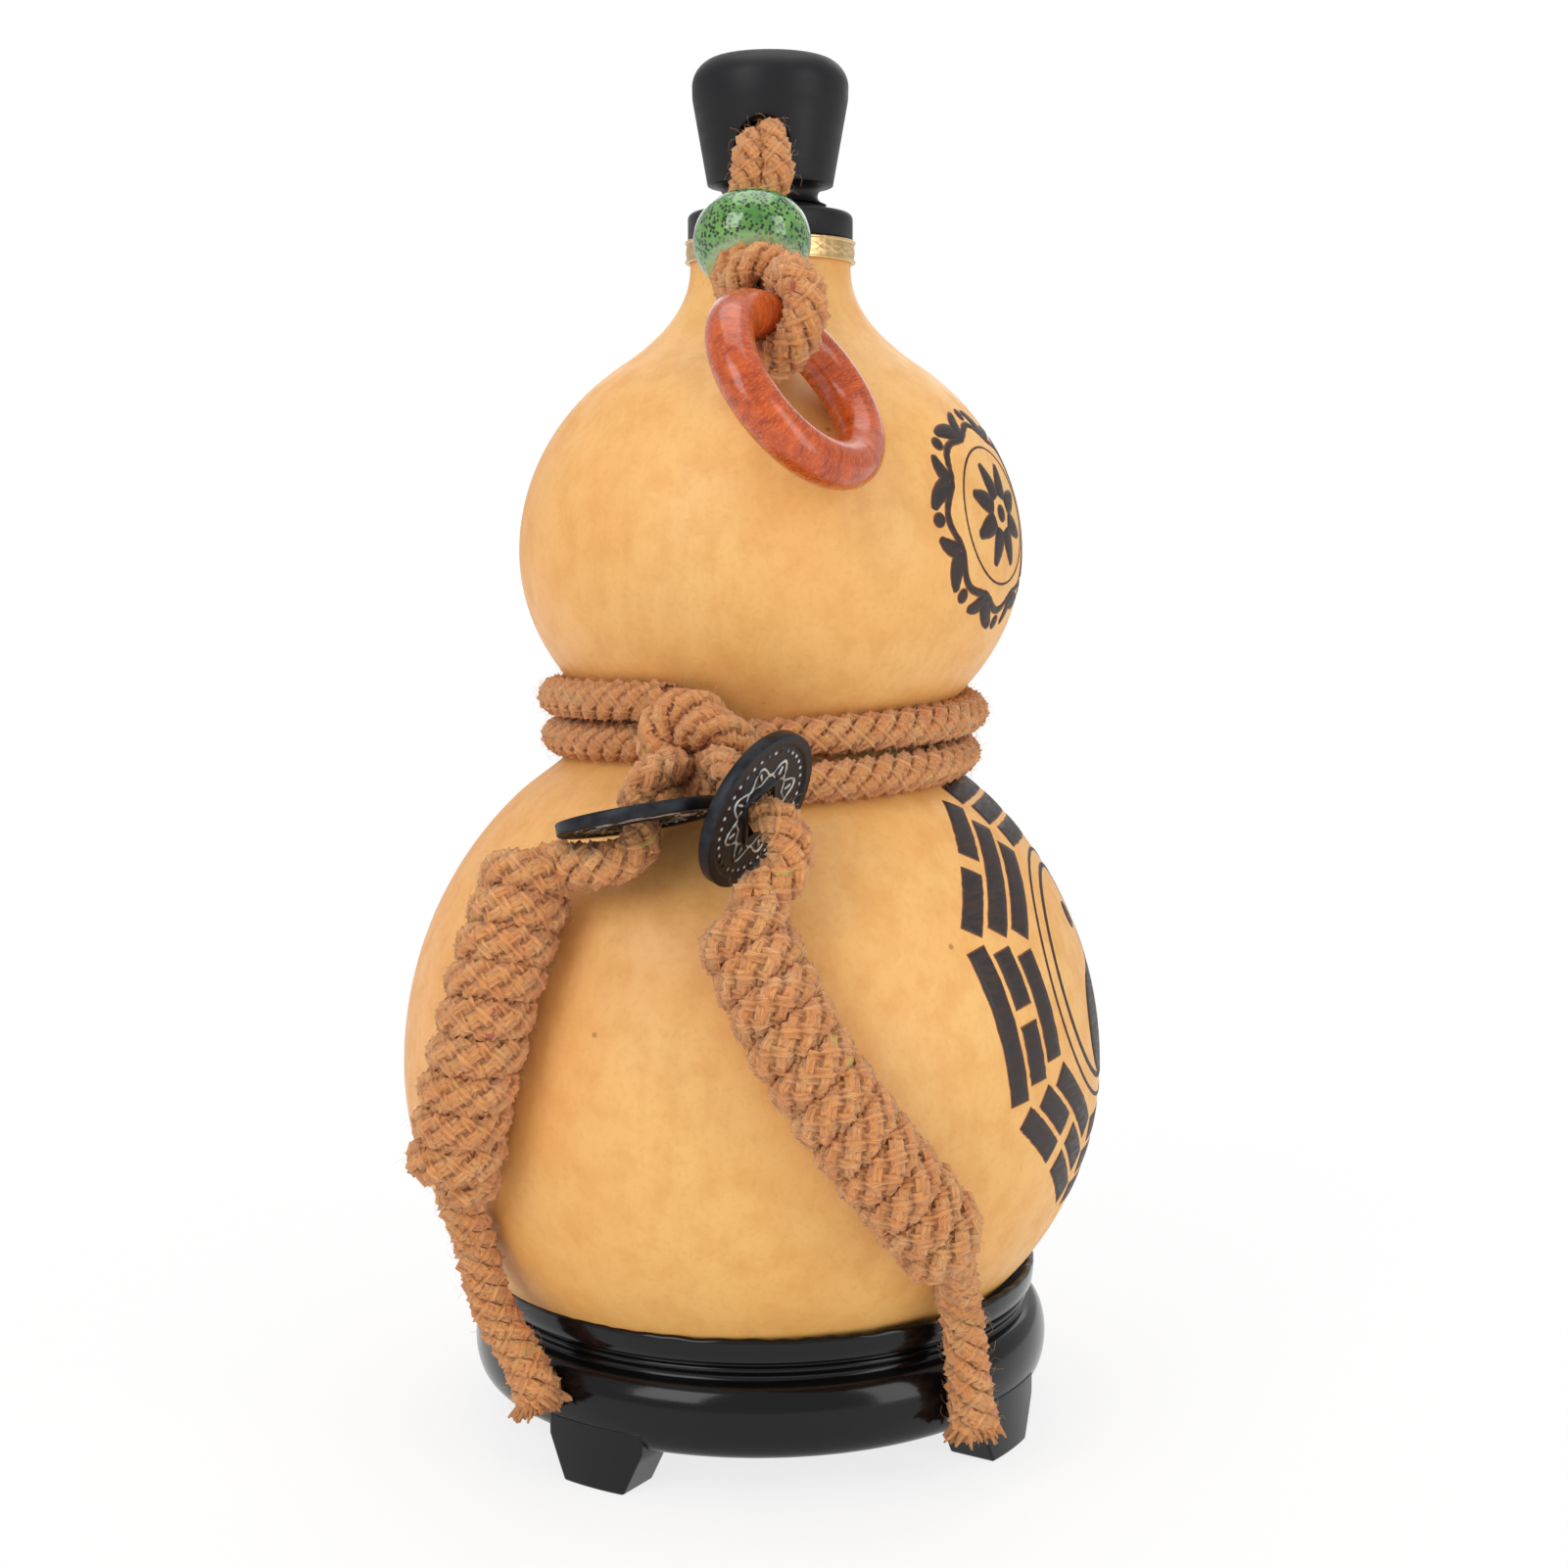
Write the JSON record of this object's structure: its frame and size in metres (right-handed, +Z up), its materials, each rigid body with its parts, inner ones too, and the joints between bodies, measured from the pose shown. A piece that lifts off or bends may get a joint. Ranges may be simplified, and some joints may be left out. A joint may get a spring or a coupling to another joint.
{
  "type": "gourd water bottle",
  "caption": "Dried gourd water flask with a corded stopper, bead and pull ring, waist cord with coin tails, and a footed stand.",
  "frame": {"origin": "on the table under the middle of the lower lobe", "axes": "+Z up through the neck, -Y the front where the knot and the tails hang, +X to the right of it"},
  "size_m": [0.1338, 0.149, 0.2578],
  "materials": {
    "stand_plastic": "gloss",
    "gourd_skin": "satin",
    "dark_plastic": "satin",
    "band_brass": "satin",
    "seal_rubber": "matte",
    "cord": "matte",
    "bead_glaze": "gloss",
    "ring_wood": "gloss",
    "coin_iron": "satin"
  },
  "bodies": {
    "stand": {"stand": "stand_plastic"},
    "gourd": {"gourd_shell": "gourd_skin", "mouth_collar": "dark_plastic", "neck_band": "band_brass", "waist_cord": "cord", "waist_knot": "cord"},
    "stopper": {"stopper": "dark_plastic", "stopper_seals": "seal_rubber"},
    "lanyard": {"lanyard_cord": "cord"},
    "bead": {"lanyard_bead": "bead_glaze"},
    "ring": {"pull_ring": "ring_wood"},
    "left_tail": {"left_tail_cord": "cord", "left_winding": "cord"},
    "left_coin": {"left_coin": "coin_iron"},
    "right_tail": {"right_tail_cord": "cord", "right_winding": "cord"},
    "right_coin": {"right_coin": "coin_iron"}
  },
  "joints": [
    {"name": "gourd_lift", "type": "slide", "parent": "stand", "child": "gourd", "axis": [0, 0, 1], "range_m": [0, 0.06]},
    {"name": "stopper_pull", "type": "slide", "parent": "gourd", "child": "stopper", "axis": [0, 0, 1], "range_m": [0, 0.03]},
    {"name": "lanyard_swing", "type": "hinge", "parent": "stopper", "child": "lanyard", "pos_m": [0.002, -0.0134, 0.2425], "axis": [-1, 0, 0], "range_deg": [0, 65]},
    {"name": "bead_spin", "type": "hinge", "parent": "lanyard", "child": "bead", "pos_m": [0.0003, -0.0266, 0.2202], "axis": [-0.0462, 0.5279, 0.848], "continuous": true},
    {"name": "ring_swing", "type": "hinge", "parent": "lanyard", "child": "ring", "pos_m": [0.0039, -0.0445, 0.2051], "axis": [-0.6726, -0.6826, 0.2858], "range_deg": [0, 60]},
    {"name": "left_tail_swing", "type": "hinge", "parent": "gourd", "child": "left_tail", "pos_m": [-0.013, -0.0465, 0.1296], "axis": [-0.8, 0.6, 0], "range_deg": [0, 25]},
    {"name": "left_coin_spin", "type": "hinge", "parent": "left_tail", "child": "left_coin", "pos_m": [-0.0186, -0.0575, 0.122], "axis": [-0.1692, 0.209, 0.9632], "continuous": true},
    {"name": "right_tail_swing", "type": "hinge", "parent": "gourd", "child": "right_tail", "pos_m": [-0.006, -0.047, 0.13], "axis": [-0.866, -0.5, 0], "range_deg": [0, 25]},
    {"name": "right_coin_spin", "type": "hinge", "parent": "right_tail", "child": "right_coin", "pos_m": [0.0009, -0.0605, 0.1239], "axis": [0.7911, -0.4679, -0.3939], "continuous": true}
  ]
}
